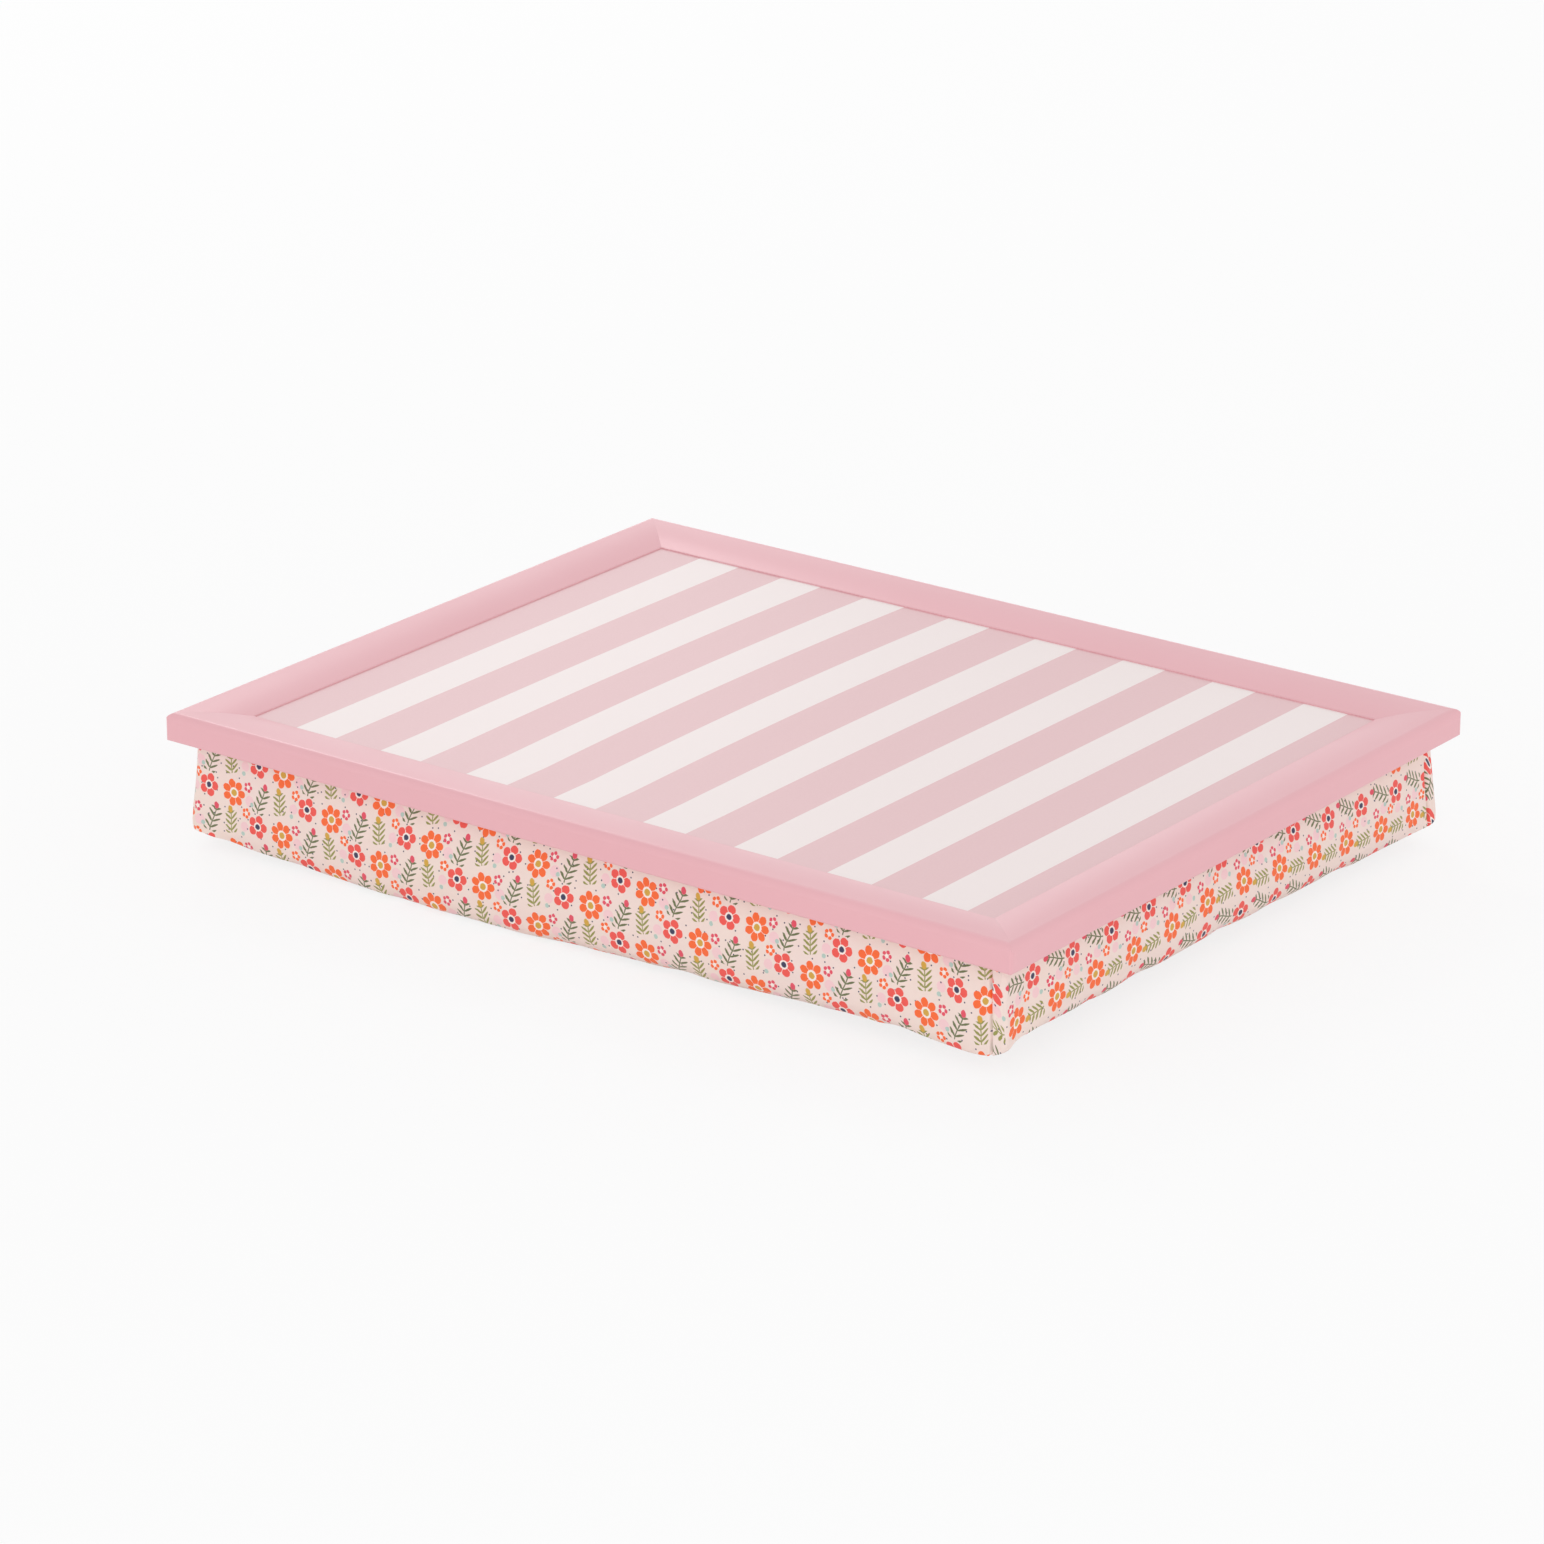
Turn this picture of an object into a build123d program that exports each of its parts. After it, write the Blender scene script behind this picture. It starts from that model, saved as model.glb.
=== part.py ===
from build123d import *
import os
from math import cos, pi, radians, sin, sqrt

# Lap tray on a bead-filled cushion. X is the tray's long side, Y its short side,
# and the cushion's flat underside stands on Z = 0. Lengths are in millimetres.

# Overall size of the frame
tray_length = 440
tray_width = 338

# Section of the frame moulding, seen end on: how wide, how high, and its rounds
rail_width = 27
rail_height = 12.35
shoulder_radius = 3.6
foot_radius = 1.0
lip_height = 0.6
lip_radius = 0.4
frame_corner_radius = 1.5

# Tray board: a core with a printed sheet above and a balancing sheet below
surface_height = 8.5
core_thickness = 3.0
sheet_thickness = 0.3
board_rebate = 6.5
board_clearance = 0.5

# Base board that carries the cushion, and the lower rebate that takes it
base_thickness = 2.5
cushion_inset = 9.2
seat_clearance = 0.3

# Cushion: how deep it hangs below the frame, and how its edges turn under
edge_depth = 45.5
edge_radius = 13
ear_run = 24
side_bulge = 2.4
ear_bulge = 1.2
belly_drop = 3.0
flat_cut = 0.5
dart_radius = 2.0
turn_radius = 12
belly_radius = 42

# Cloth thicknesses, and the slack between one layer of the cushion and the next
cover_thickness = 0.8
bag_thickness = 0.5
layer_slack = 0.3

# Countersunk screws, base board up into the rails
screw_radius = 1.4
screw_head_radius = 2.8
screw_length = 9.0
screw_point = 1.6
screw_tip_radius = 0.3
screw_sides = 8
screw_slot_width = 0.8
screw_slot_depth = 0.7
screw_clearance = 0.15
screw_end_distance = 58
long_screws = 4
short_screws = 3

# V-shaped nails across the mitres
nail_leg = 3.6
nail_thickness = 0.4
nail_height = 6.0

# Flat blades that hold the tray board up in its rebate
blade_length = 12
blade_width = 6
blade_thickness = 0.4
blade_in_wood = 6.5
blade_point = 3.0
long_blades = 3
short_blades = 2

# Staples through the hem into the base board, just inside the rails
staple_width = 10
staple_leg = 2.6
staple_wire = 0.6
staple_margin = 4
hem_margin = 6
long_staples = 7
short_staples = 5

# Heights and half sizes that follow
frame_z = edge_depth + belly_drop - flat_cut
seat_height = base_thickness + cover_thickness
seat_z = frame_z + seat_height
surface_z = frame_z + surface_height
core_z = surface_z - sheet_thickness - core_thickness
backer_z = core_z - sheet_thickness
half_length = tray_length / 2
half_width = tray_width / 2
cover_half_x = half_length - cushion_inset
cover_half_y = half_width - cushion_inset

# Distances in from the frame's outer face that follow
seat_outside = cushion_inset - seat_clearance
web_inside = rail_width - board_rebate
web_middle = (seat_outside + web_inside) / 2
staple_inset = web_inside + staple_margin
hem_inside = staple_inset + hem_margin
board_margin = web_inside + board_clearance

# Stations of the cushion's form: shares of the wall, and angles of the turned-under
# edge. The layers inside the cover don't show, and take every second station.
wall_shares = (0.0, 0.5, 1.0)
edge_angles = (32, 62, 89)
ear_crispness = 4
inner_layer_step = 2

os.makedirs("parts", exist_ok=True)


def finish(name, part):
    part.label = name
    export_step(part, f"parts/{name}.step")
    print(f"{name}: {len(part.solids())} solids, {part.volume / 1000:.1f} cm3")


def many_sided(stations):
    """A slim body with few sides, through the given heights and radii"""
    with BuildPart() as body:
        for height, radius in stations:
            with BuildSketch(Plane.XY.offset(height)):
                RegularPolygon(radius, screw_sides)
        loft(ruled=True)
    return body.part


# Screws: head in the base board, point up in the rail
screw_long_spacing = (tray_length - 2 * screw_end_distance) / (long_screws - 1)
screw_short_spacing = (tray_width - 2 * screw_end_distance) / (short_screws - 1)
long_row_screws = GridLocations(
    screw_long_spacing, tray_width - 2 * web_middle, long_screws, 2
).locations
short_row_screws = GridLocations(
    tray_length - 2 * web_middle, screw_short_spacing, 2, short_screws
).locations
screw_places = [Pos(0, 0, frame_z) * place for place in long_row_screws + short_row_screws]
head_depth = screw_head_radius - screw_radius
hole_radius = screw_radius + screw_clearance
screw_hole = many_sided(
    (
        (0, screw_head_radius),
        (screw_head_radius - hole_radius, hole_radius),
        (seat_height, hole_radius),
    )
)

with BuildPart() as one_screw:
    add(
        many_sided(
            (
                (0, screw_head_radius),
                (head_depth, screw_radius),
                (screw_length - screw_point, screw_radius),
                (screw_length, screw_tip_radius),
            )
        )
    )
    Box(screw_radius * 2, screw_slot_width, screw_slot_depth * 2, mode=Mode.SUBTRACT)

with BuildPart() as base_screws:
    with Locations(screw_places):
        add(one_screw.part)

# V nails: each has one leg in either rail, and its bend on the mitre
with BuildPart() as corner_v_nails:
    for middle, bottom in ((seat_outside / 2, frame_z), (web_middle, seat_z)):
        with BuildSketch(Plane.XY.offset(bottom)):
            with BuildLine():
                inset = middle - nail_leg / 2
                bend = (inset - half_length, inset - half_width)
                Polyline(
                    bend,
                    (bend[0] + nail_leg, bend[1]),
                    (bend[0] + nail_leg, bend[1] + nail_thickness),
                    (bend[0] + nail_thickness, bend[1] + nail_thickness),
                    (bend[0] + nail_thickness, bend[1] + nail_leg),
                    (bend[0], bend[1] + nail_leg),
                    close=True,
                )
            make_face()
        extrude(amount=nail_height)
    mirror(about=Plane.YZ)
    mirror(about=Plane.XZ)

# Blades: a pointed half in the wood, a square half under the tray board
blade_y = web_inside - blade_in_wood - half_width
blade_x = web_inside - blade_in_wood - half_length
blade_z = backer_z - blade_thickness
long_blade_spacing = tray_length / (long_blades + 1)
short_blade_spacing = tray_width / (short_blades + 1)

with BuildPart() as framers_points:
    with BuildSketch(Plane.XY.offset(blade_z)):
        with BuildLine():
            Polyline(
                (0, 0),
                (blade_width / 2, blade_point),
                (blade_width / 2, blade_length),
                (-blade_width / 2, blade_length),
                (-blade_width / 2, blade_point),
                close=True,
            )
        blade = make_face(mode=Mode.PRIVATE)
        with Locations((0, blade_y)):
            with GridLocations(long_blade_spacing, 0, long_blades, 1):
                add(blade)
        with Locations((blade_x, 0)):
            with GridLocations(0, short_blade_spacing, 1, short_blades):
                add(blade, rotation=-90)
    extrude(amount=blade_thickness)
    mirror(about=Plane.YZ)
    mirror(about=Plane.XZ)

# Staples: crown on the hem, two legs down into the base board
long_staple_spacing = (tray_length - 4 * staple_inset) / (long_staples - 1)
short_staple_spacing = (tray_width - 4 * staple_inset) / (short_staples - 1)
long_row_staples = GridLocations(
    long_staple_spacing, tray_width - 2 * staple_inset, long_staples, 2
).locations
short_row_staples = GridLocations(
    tray_length - 2 * staple_inset, short_staple_spacing, 2, short_staples
).locations
staple_places = [Pos(0, 0, seat_z) * place for place in long_row_staples]
staple_places += [
    Pos(0, 0, seat_z) * place * Rotation(0, 0, 90) for place in short_row_staples
]
up_from_base = (Align.CENTER, Align.CENTER, Align.MIN)
down_from_top = (Align.CENTER, Align.CENTER, Align.MAX)

with BuildPart() as one_staple:
    Box(staple_width, staple_wire, staple_wire, align=up_from_base)
    with GridLocations(staple_width - staple_wire, 0, 2, 1):
        Box(staple_wire, staple_wire, staple_leg, align=down_from_top)

with BuildPart() as hem_staples:
    with Locations(staple_places):
        add(one_staple.part)


def make_rail(name, start, heading, length):
    """A length of moulding, mitred at both ends, with its fixings' holes"""
    inward = Vector(0, 0, 1).cross(heading)
    lip_top = surface_height + lip_height
    with BuildPart() as rail:
        with BuildSketch(Plane(origin=start, x_dir=inward, z_dir=heading)) as section:
            with BuildLine():
                face = Line((0, 0), (0, rail_height - shoulder_radius))
                shoulder = RadiusArc(
                    face @ 1, (shoulder_radius, rail_height), shoulder_radius
                )
                crown = TangentArc(
                    shoulder @ 1, (rail_width, lip_top), tangent=shoulder % 1
                )
                Polyline(
                    crown @ 1,
                    (rail_width, surface_height),
                    (web_inside, surface_height),
                    (web_inside, seat_height),
                    (seat_outside, seat_height),
                    (seat_outside, 0),
                    face @ 0,
                )
            make_face()
            lip = section.vertices().group_by(Axis.X)[-1].sort_by(Axis.Y)[-1]
            fillet(lip, lip_radius)
            foot = section.vertices().group_by(Axis.X)[0].sort_by(Axis.Y)[0]
            fillet(foot, foot_radius)
        extrude(amount=length)
        split(bisect_by=Plane(origin=start, z_dir=heading - inward), keep=Keep.TOP)
        far_end = Plane(origin=start + heading * length, z_dir=-heading - inward)
        split(bisect_by=far_end, keep=Keep.TOP)
        with BuildSketch(Plane.XY.offset(frame_z)):
            RectangleRounded(tray_length, tray_width, frame_corner_radius)
        extrude(amount=rail_height, mode=Mode.INTERSECT)
        add(base_screws.part, mode=Mode.SUBTRACT)
        add(corner_v_nails.part, mode=Mode.SUBTRACT)
        add(framers_points.part, mode=Mode.SUBTRACT)
    finish(name, rail.part)


make_rail("front_rail", Vector(-half_length, -half_width, frame_z), Vector(1, 0, 0), tray_length)
make_rail("right_rail", Vector(half_length, -half_width, frame_z), Vector(0, 1, 0), tray_width)
make_rail("rear_rail", Vector(half_length, half_width, frame_z), Vector(-1, 0, 0), tray_length)
make_rail("left_rail", Vector(-half_length, half_width, frame_z), Vector(0, -1, 0), tray_width)

# Tray board, held in the upper rebate
def make_layer(name, bottom, thickness):
    with BuildPart() as layer:
        with BuildSketch(Plane.XY.offset(bottom)):
            Rectangle(tray_length - 2 * board_margin, tray_width - 2 * board_margin)
        extrude(amount=thickness)
    finish(name, layer.part)


make_layer("striped_sheet", surface_z - sheet_thickness, sheet_thickness)
make_layer("tray_board", core_z, core_thickness)
make_layer("backer_sheet", backer_z, sheet_thickness)

# Base board, in the lower rebate, inside the cover
with BuildPart() as base_board:
    with BuildSketch(Plane.XY.offset(frame_z)):
        RectangleRounded(
            2 * (cover_half_x - cover_thickness),
            2 * (cover_half_y - cover_thickness),
            dart_radius - cover_thickness,
        )
    extrude(amount=base_thickness)
    with Locations(screw_places):
        add(screw_hole, mode=Mode.SUBTRACT)
    add(hem_staples.part, mode=Mode.SUBTRACT)
finish("base_board", base_board.part)


def cushion_stations(shrink):
    """Levels of the form, as depth, side and corner half sizes, and corner radius"""
    half_x = cover_half_x - shrink
    half_y = cover_half_y - shrink
    edge_round = edge_radius - shrink
    wall_depth = edge_depth - edge_radius
    stations = []
    for share in wall_shares:
        depth = share * wall_depth
        side_out = side_bulge * sin(pi * depth / edge_depth)
        ear_out = ear_bulge * sin(pi * depth / edge_depth)
        stations.append(
            (
                depth,
                half_x + side_out,
                half_y + side_out,
                half_x + ear_out,
                half_y + ear_out,
                dart_radius - shrink,
            )
        )
    for angle in edge_angles:
        turned = 1 - cos(radians(angle))
        depth = wall_depth + edge_round * sin(radians(angle))
        side_in = edge_round * turned - side_bulge * sin(pi * depth / edge_depth)
        ear_in = ear_run * turned**ear_crispness - ear_bulge * sin(pi * depth / edge_depth)
        stations.append(
            (
                depth,
                half_x - side_in,
                half_y - side_in,
                half_x - ear_in,
                half_y - ear_in,
                dart_radius - shrink + turned * (turn_radius - dart_radius),
            )
        )
    turned = 1 - cos(radians(edge_angles[-1]))
    rim_side_x = half_x - edge_round * turned
    rim_side_y = half_y - edge_round * turned
    rim_ear_x = half_x - ear_run * turned**ear_crispness
    rim_ear_y = half_y - ear_run * turned**ear_crispness
    flat_share = sqrt(flat_cut / belly_drop)
    stations.append(
        (
            frame_z - shrink,
            rim_side_x * flat_share,
            rim_side_y * flat_share,
            rim_ear_x * flat_share,
            rim_ear_y * flat_share,
            belly_radius,
        )
    )
    return stations


def side_line(start, middle, end):
    """One side of a level: straight where it doesn't bow"""
    chord_middle = ((start[0] + end[0]) / 2, (start[1] + end[1]) / 2)
    if chord_middle == middle:
        Line(start, end)
    else:
        ThreePointArc(start, middle, end)


def cushion_level(depth, side_x, side_y, ear_x, ear_y, radius):
    """The cushion's outline at one depth below the frame"""
    with BuildSketch(Plane.XY.offset(frame_z - depth)) as level:
        with BuildLine():
            side_line((-ear_x, -ear_y), (0, -side_y), (ear_x, -ear_y))
            side_line((ear_x, -ear_y), (side_x, 0), (ear_x, ear_y))
            side_line((ear_x, ear_y), (0, side_y), (-ear_x, ear_y))
            side_line((-ear_x, ear_y), (-side_x, 0), (-ear_x, -ear_y))
        make_face()
        fillet(level.vertices(), radius)
    return level.sketch.face()


def cushion_form(shrink, top_drop, step=1):
    """The closed form, evenly smaller than the cover's outside, its top cut down flat"""
    levels = [cushion_level(*station) for station in cushion_stations(shrink)[::step]]
    with BuildPart() as form:
        loft(levels, ruled=True)
        split(bisect_by=Plane.XY.offset(frame_z - top_drop), keep=Keep.BOTTOM)
    return form.part


cover_outside = cushion_form(0, 0)
cover_inside = cushion_form(cover_thickness, 0)

# Cover: the printed cloth, up round the base board and turned in on top of it
with BuildPart() as cushion_cover:
    add(cover_outside)
    add(cover_inside, mode=Mode.SUBTRACT)
    with BuildSketch(Plane.XY.offset(frame_z)):
        RectangleRounded(2 * cover_half_x, 2 * cover_half_y, dart_radius)
        RectangleRounded(
            2 * (cover_half_x - cover_thickness),
            2 * (cover_half_y - cover_thickness),
            dart_radius - cover_thickness,
            mode=Mode.SUBTRACT,
        )
    extrude(amount=seat_height)
    with BuildSketch(Plane.XY.offset(frame_z + base_thickness)):
        RectangleRounded(2 * cover_half_x, 2 * cover_half_y, dart_radius)
        Rectangle(
            tray_length - 2 * hem_inside,
            tray_width - 2 * hem_inside,
            mode=Mode.SUBTRACT,
        )
    extrude(amount=cover_thickness)
    with Locations(screw_places):
        add(screw_hole, mode=Mode.SUBTRACT)
    add(hem_staples.part, mode=Mode.SUBTRACT)
finish("cushion_cover", cushion_cover.part)

# Inner bag and its beads
bag_outside = cover_thickness + layer_slack
bag_inside = bag_outside + bag_thickness
bag_top = layer_slack
bag_inside_top = bag_top + bag_thickness
with BuildPart() as bead_bag:
    add(cushion_form(bag_outside, bag_top, inner_layer_step))
    add(cushion_form(bag_inside, bag_inside_top, inner_layer_step), mode=Mode.SUBTRACT)
finish("bead_bag", bead_bag.part)

with BuildPart() as bead_filling:
    filling_outside = bag_inside + layer_slack
    filling_top = bag_inside_top + layer_slack
    add(cushion_form(filling_outside, filling_top, inner_layer_step))
finish("bead_filling", bead_filling.part)

finish("base_screws", base_screws.part)
finish("corner_v_nails", corner_v_nails.part)
finish("framers_points", framers_points.part)
finish("hem_staples", hem_staples.part)

print(f"height overall {frame_z + rail_height:.1f} mm, frame underside at {frame_z:.1f} mm")
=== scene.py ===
# %% [markdown]
# # A lap tray on its bead cushion
# The real tray is a painted, mitred frame round a striped board, screwed to a cushion of
# printed cotton that is filled with foam beads. The rigid pieces come from the shared
# frame as they are and only get their finish here. The cushion is soft, so it is built
# again as a fine mesh, and its print is drawn by nodes on coordinates that follow the cloth.

import math

import bpy
import numpy as np
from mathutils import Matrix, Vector


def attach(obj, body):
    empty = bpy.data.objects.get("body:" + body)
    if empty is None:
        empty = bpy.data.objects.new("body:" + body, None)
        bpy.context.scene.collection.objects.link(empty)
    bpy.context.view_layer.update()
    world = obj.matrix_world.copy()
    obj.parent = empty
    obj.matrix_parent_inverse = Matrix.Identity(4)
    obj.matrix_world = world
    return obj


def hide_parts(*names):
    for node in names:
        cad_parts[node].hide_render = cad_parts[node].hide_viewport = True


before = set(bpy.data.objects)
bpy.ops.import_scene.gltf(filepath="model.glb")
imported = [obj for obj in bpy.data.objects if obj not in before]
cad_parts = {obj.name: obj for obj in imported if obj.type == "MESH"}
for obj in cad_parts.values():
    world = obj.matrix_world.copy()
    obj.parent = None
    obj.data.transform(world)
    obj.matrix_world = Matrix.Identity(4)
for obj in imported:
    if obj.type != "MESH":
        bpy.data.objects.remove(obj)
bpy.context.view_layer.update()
scene = bpy.context.scene
MM = 0.001
print("solids of the frame:", ", ".join(sorted(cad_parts)))

# %% [markdown]
# ## The camera
# A product photograph is taken from far off with a long lens, so that the edges stay
# nearly parallel. A wide lens close by would frame the tray as large but would spread its
# near corner. The place and lens here were found from the frame's corners and edges.

# %% Camera
PICTURE_PIXELS = 1544
LENS_PIXELS = 6151.75
SENSOR_WIDTH = 36
camera_place = Vector((1.4682, -1.9885, 0.9599))
camera_target = Vector((-0.0226, 0.0, 0.0272))

camera_data = bpy.data.cameras.new("front_camera")
camera_data.sensor_width = SENSOR_WIDTH
camera_data.lens = SENSOR_WIDTH * LENS_PIXELS / PICTURE_PIXELS
camera = bpy.data.objects.new("front_camera", camera_data)
camera.location = camera_place
camera.rotation_euler = (camera_target - camera_place).to_track_quat("-Z", "Y").to_euler()
scene.collection.objects.link(camera)
scene.camera = camera
print(f"lens {camera_data.lens:.1f} mm, {(camera_target - camera_place).length:.2f} m away")

# %% [markdown]
# ## Sums in a material
# A printed pattern is a sum over each point of the surface. It could be wired node by node
# in the editor. Written as a formula it is far easier to read, so the small class below
# turns plain sums into Math nodes.

# %% Sums that become nodes
def linear(red, green, blue):
    """A colour given as it looks on screen, 0 to 255, for a shader's socket"""
    shares = (value / 255 for value in (red, green, blue))
    return tuple(s / 12.92 if s <= 0.04045 else ((s + 0.055) / 1.055) ** 2.4 for s in shares) + (1,)


class Sum:
    """A value in the material being made. Sums of these values add its nodes."""

    tree = None

    def __init__(self, socket):
        self.socket = socket

    def __add__(self, other):
        return math_node("ADD", self, other)

    def __sub__(self, other):
        return math_node("SUBTRACT", self, other)

    def __rsub__(self, other):
        return math_node("SUBTRACT", other, self)

    def __mul__(self, other):
        return math_node("MULTIPLY", self, other)

    def __truediv__(self, other):
        return math_node("DIVIDE", self, other)


def plug(socket, value):
    """Puts a number, a colour or another node's output on a socket"""
    if isinstance(value, Sum):
        Sum.tree.links.new(value.socket, socket)
    else:
        socket.default_value = value


def math_node(operation, *values):
    node = Sum.tree.nodes.new("ShaderNodeMath")
    node.operation = operation
    for socket, value in zip(node.inputs, values):
        plug(socket, value)
    return Sum(node.outputs[0])


def inside(distance, edge, blur):
    """1 where the distance is less than the edge, 0 beyond it, with a narrow soft edge"""
    node = Sum.tree.nodes.new("ShaderNodeMapRange")
    plug(node.inputs["Value"], distance)
    plug(node.inputs["From Min"], edge + blur)
    plug(node.inputs["From Max"], edge - blur)
    return Sum(node.outputs["Result"])


def laid_over(under, over, share):
    """One colour printed over another where the share is 1"""
    node = Sum.tree.nodes.new("ShaderNodeMix")
    node.data_type = "RGBA"
    plug(node.inputs[0], share)
    plug(node.inputs[6], under)
    plug(node.inputs[7], over)
    return Sum(node.outputs[2])


def texture(kind, output, vector, **settings):
    """A texture node's output; settings in capitals are its menus, the others its sockets"""
    node = Sum.tree.nodes.new("ShaderNodeTex" + kind)
    for name, value in settings.items():
        if name.isupper():
            setattr(node, name.lower(), value)
        else:
            plug(node.inputs[name.replace("_", " ")], value)
    plug(node.inputs["Vector"], vector)
    return Sum(node.outputs[output])


def split_up(vector):
    node = Sum.tree.nodes.new("ShaderNodeSeparateXYZ")
    plug(node.inputs[0], vector)
    return [Sum(socket) for socket in node.outputs]


def joined(x, y, z=0.0):
    node = Sum.tree.nodes.new("ShaderNodeCombineXYZ")
    for socket, value in zip(node.inputs, (x, y, z)):
        plug(socket, value)
    return Sum(node.outputs[0])


def relief(height, depth, strength):
    """Small relief, its height in shares of a depth in metres"""
    node = Sum.tree.nodes.new("ShaderNodeBump")
    node.inputs["Strength"].default_value = strength
    node.inputs["Distance"].default_value = depth
    plug(node.inputs["Height"], height)
    return Sum(node.outputs[0])


def new_finish(name, **sockets):
    """A new material, whose shader and whose place on the piece are returned with it"""
    material = bpy.data.materials.new(name)
    material.use_nodes = True
    Sum.tree = material.node_tree
    shader = Sum.tree.nodes["Principled BSDF"]
    for socket, value in sockets.items():
        shader.inputs[socket.replace("_", " ")].default_value = value
    place = Sum(Sum.tree.nodes.new("ShaderNodeTexCoord").outputs["Object"])
    return material, shader, place


def dress(material, *nodes):
    """Gives nodes of the shared frame their finish"""
    for name in nodes:
        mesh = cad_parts[name].data
        mesh.materials.clear()
        mesh.materials.append(material)
    print(material.name, "on", ", ".join(nodes))


# %% [markdown]
# ## Floor and light
# The tray was taken on white, in very soft light that comes from all round and is a little
# stronger from behind on the left. Lamps alone would throw hard shadows. A sky that is
# brighter near the horizon lights upright faces as well as the top. Satin paint mirrors
# what stands behind it: a softbox far back on the left draws a sheen along the front
# shoulder near its left corner, a lower one glows in the rear rail, and a strip close to
# the floor lights the far edges. A wide softbox in front fills the near sides. The floor
# shows white to the camera and in reflections, and still catches a soft shadow.

# %% Sky, softboxes and floor
ZENITH, HORIZON = 0.60, 1.33
TRAY_CENTRE = Vector((0, 0, 0))
FLOOR_SIZE, FLOOR_GREY, SHADOW_SHARE = 12, 0.93, 0.2


def seen_directly():
    """1 for rays from the camera and for those that gloss or glass sends on"""
    ray = Sum.tree.nodes.new("ShaderNodeLightPath")
    camera_ray, gloss_ray, glass_ray = (
        Sum(ray.outputs[f"Is {kind} Ray"]) for kind in ("Camera", "Glossy", "Transmission")
    )
    return math_node("MAXIMUM", camera_ray, math_node("MAXIMUM", gloss_ray, glass_ray))


world = bpy.data.worlds.new("white_sky")
scene.world = world
world.use_nodes = True
Sum.tree = world.node_tree
heading = Sum(Sum.tree.nodes.new("ShaderNodeTexCoord").outputs["Generated"])
height = math_node("MAXIMUM", split_up(heading)[2], 0.0)
strength = HORIZON - height * (HORIZON - ZENITH)
seen = seen_directly()
sky = Sum.tree.nodes["Background"]
sky.inputs["Color"].default_value = (1, 1, 1, 1)
plug(sky.inputs["Strength"], strength + seen * (1.0 - strength))


def softbox(name, place, width, height, watts):
    """A softbox aimed at the tray, seen in reflections but not by the camera"""
    lamp = bpy.data.lights.new(name, "AREA")
    lamp.shape = "RECTANGLE"
    lamp.size, lamp.size_y = width, height
    lamp.energy = watts
    box = bpy.data.objects.new(name, lamp)
    box.location = place
    box.rotation_euler = (TRAY_CENTRE - Vector(place)).to_track_quat("-Z", "Y").to_euler()
    box.visible_camera = False
    scene.collection.objects.link(box)


softbox("back_softbox", (-1.62, 1.18, 1.39), width=0.5, height=0.4, watts=4.0)
softbox("glow_softbox", (-1.74, 2.02, 0.88), width=0.4, height=0.3, watts=0.5)
softbox("rear_strip", (-1.60, 1.90, 0.10), width=1.6, height=0.2, watts=1.1)
softbox("front_fill", (1.2, -1.5, 0.45), width=1.4, height=1.4, watts=4.0)

bpy.ops.mesh.primitive_plane_add(size=FLOOR_SIZE)
floor = bpy.context.object
floor.name = "floor"
floor_paper, floor_shader, _ = new_finish("floor_paper", Roughness=0.9, Specular_IOR_Level=0.0)
floor_shader.inputs["Base Color"].default_value = (FLOOR_GREY, FLOOR_GREY, FLOOR_GREY, 1)
white = Sum.tree.nodes.new("ShaderNodeEmission")
either = Sum.tree.nodes.new("ShaderNodeMixShader")
plug(either.inputs[0], seen_directly() * (1 - SHADOW_SHARE))
plug(either.inputs[1], Sum(floor_shader.outputs[0]))
plug(either.inputs[2], Sum(white.outputs[0]))
plug(Sum.tree.nodes["Material Output"].inputs["Surface"], Sum(either.outputs[0]))
floor.data.materials.append(floor_paper)
scene.view_settings.view_transform = "Standard"
print("sky from", HORIZON, "at the horizon to", ZENITH, "overhead")

# %% [markdown]
# ## Pink paint on the frame
# The moulding is sprayed satin, so it has a faint orange peel and no brush marks. A darker
# line of painted shade lies in the corner by the inner lip, and the paint thins along the
# mitres, where a hairline shows. Both places are worked out from the point's distance to
# the frame's own lines, so they sit right on all four rails.

# %% Satin paint
HALF_LENGTH, HALF_WIDTH, RAIL_WIDTH = 0.220, 0.169, 0.027
LIP_SHADE_WIDTH, LIP_SHADE_BLUR = 0.0006, 0.0005
MITRE_LINE, MITRE_BLUR = 0.00010, 0.00006
PEEL_DEPTH = 0.00004

satin_paint, shader, place = new_finish("satin_pink_paint")
x, y, _ = split_up(place)
along_x, along_y = math_node("ABSOLUTE", x), math_node("ABSOLUTE", y)
from_lip = math_node(
    "MAXIMUM", along_x - (HALF_LENGTH - RAIL_WIDTH), along_y - (HALF_WIDTH - RAIL_WIDTH)
)
from_mitre = math_node("ABSOLUTE", (along_x - HALF_LENGTH) - (along_y - HALF_WIDTH))
clouds = texture("Noise", "Fac", place, Scale=14.0, Detail=3.0)
peel = texture("Noise", "Fac", place, Scale=1500.0, Detail=2.0)
pink = laid_over(linear(236, 181, 188), linear(232, 174, 181), clouds)
# Painted shade: a darker pink line where the inner lip meets the striped sheet, in place of the
# lip's shadow.
lip_shade = inside(from_lip, LIP_SHADE_WIDTH, LIP_SHADE_BLUR) * 0.45
mitre_line = inside(from_mitre, MITRE_LINE, MITRE_BLUR) * 0.3
pink = laid_over(pink, linear(220, 164, 170), lip_shade)
pink = laid_over(pink, linear(218, 160, 167), mitre_line)
plug(shader.inputs["Base Color"], pink)
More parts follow.
